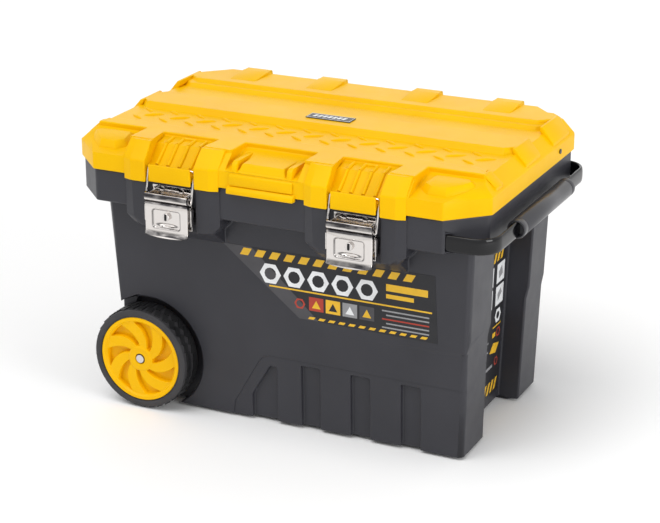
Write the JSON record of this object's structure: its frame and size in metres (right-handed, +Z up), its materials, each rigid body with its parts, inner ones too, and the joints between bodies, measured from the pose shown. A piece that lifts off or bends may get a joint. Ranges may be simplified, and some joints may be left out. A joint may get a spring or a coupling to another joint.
{
  "type": "wheeled tool chest",
  "caption": "Wheeled plastic tool chest with a stepped hinged lid, metal draw latches, a pull-out tow handle and corner feet.",
  "frame": {"origin": "middle of the bounding box at the floor", "axes": "+X to the handle end, -Y to the latch side, +Z up"},
  "size_m": [0.645, 0.4218, 0.41],
  "materials": {
    "yellow_plastic": "moulded, satin",
    "charcoal_plastic": "moulded, satin",
    "black_plastic": "moulded, satin",
    "tyre_rubber": "matte",
    "bright_steel": "bright plated",
    "badge_plate": "printed film, satin"
  },
  "bodies": {
    "body": {"axle_back": "bright_steel", "axle_cap_back": "bright_steel", "axle_cap_front": "bright_steel", "axle_front": "bright_steel", "axle_nut_back": "bright_steel", "axle_nut_front": "bright_steel", "axle_washer_back": "bright_steel", "axle_washer_front": "bright_steel", "body_shell": "charcoal_plastic", "hinge_body_leaf_left": "bright_steel", "hinge_body_leaf_right": "bright_steel", "hinge_pin_left": "bright_steel", "hinge_pin_right": "bright_steel", "hinge_screw_body_left_a": "bright_steel", "hinge_screw_body_left_b": "bright_steel", "hinge_screw_body_right_a": "bright_steel", "hinge_screw_body_right_b": "bright_steel", "latch_base_left": "bright_steel", "latch_base_right": "bright_steel", "latch_pin_left": "bright_steel", "latch_pin_right": "bright_steel", "latch_rivet_left_a": "bright_steel", "latch_rivet_left_b": "bright_steel", "latch_rivet_right_a": "bright_steel", "latch_rivet_right_b": "bright_steel"},
    "lid": {"hinge_lid_leaf_left": "bright_steel", "hinge_lid_leaf_right": "bright_steel", "hinge_screw_lid_left_a": "bright_steel", "hinge_screw_lid_left_b": "bright_steel", "hinge_screw_lid_right_a": "bright_steel", "hinge_screw_lid_right_b": "bright_steel", "lid_badge": "badge_plate", "lid_shell": "yellow_plastic", "stay_rivet_left": "black_plastic", "stay_rivet_right": "black_plastic"},
    "lever_left": {"latch_lever_left": "bright_steel"},
    "lever_right": {"latch_lever_right": "bright_steel"},
    "bail_left": {"latch_bail_left": "bright_steel"},
    "bail_right": {"latch_bail_right": "bright_steel"},
    "lock_left": {"lock_cam_left": "bright_steel", "lock_plug_left": "bright_steel"},
    "lock_right": {"lock_cam_right": "bright_steel", "lock_plug_right": "bright_steel"},
    "handle": {"handle_bar": "black_plastic", "handle_grip": "charcoal_plastic", "handle_stop_back": "black_plastic", "handle_stop_front": "black_plastic"},
    "wheel_front": {"tyre_front": "tyre_rubber", "wheel_hub_front": "yellow_plastic"},
    "wheel_back": {"tyre_back": "tyre_rubber", "wheel_hub_back": "yellow_plastic"}
  },
  "joints": [
    {"name": "lid_hinge", "type": "hinge", "parent": "body", "child": "lid", "pos_m": [-0.0135, 0.20745, 0.3526], "axis": [-1, 0, 0], "range_deg": [0, 100]},
    {"name": "lever_left_pivot", "type": "hinge", "parent": "body", "child": "lever_left", "pos_m": [-0.1495, -0.19985, 0.334], "axis": [-1, 0, 0], "range_deg": [0, 115]},
    {"name": "bail_left_pivot", "type": "hinge", "parent": "lever_left", "child": "bail_left", "pos_m": [-0.1495, -0.19985, 0.326], "axis": [-1, 0, 0], "range_deg": [-103, 0]},
    {"name": "lock_left_turn", "type": "hinge", "parent": "lever_left", "child": "lock_left", "pos_m": [-0.1495, -0.20735, 0.3065], "axis": [0, 1, 0], "range_deg": [0, 90]},
    {"name": "lever_right_pivot", "type": "hinge", "parent": "body", "child": "lever_right", "pos_m": [0.1225, -0.19985, 0.334], "axis": [-1, 0, 0], "range_deg": [0, 115]},
    {"name": "bail_right_pivot", "type": "hinge", "parent": "lever_right", "child": "bail_right", "pos_m": [0.1225, -0.19985, 0.326], "axis": [-1, 0, 0], "range_deg": [-103, 0]},
    {"name": "lock_right_turn", "type": "hinge", "parent": "lever_right", "child": "lock_right", "pos_m": [0.1225, -0.20735, 0.3065], "axis": [0, 1, 0], "range_deg": [0, 90]},
    {"name": "handle_slide", "type": "slide", "parent": "body", "child": "handle", "axis": [1, 0, 0], "range_m": [0, 0.2345]},
    {"name": "wheel_front_spin", "type": "hinge", "parent": "body", "child": "wheel_front", "pos_m": [-0.21755, -0.17687, 0.075], "axis": [0, 1, 0], "continuous": true},
    {"name": "wheel_back_spin", "type": "hinge", "parent": "body", "child": "wheel_back", "pos_m": [-0.21755, 0.18317, 0.075], "axis": [0, 1, 0], "continuous": true}
  ],
  "couplings": [
    {"joint": "bail_left_pivot", "follows": "lever_left_pivot", "ratio": -0.887},
    {"joint": "bail_right_pivot", "follows": "lever_right_pivot", "ratio": -0.887}
  ]
}
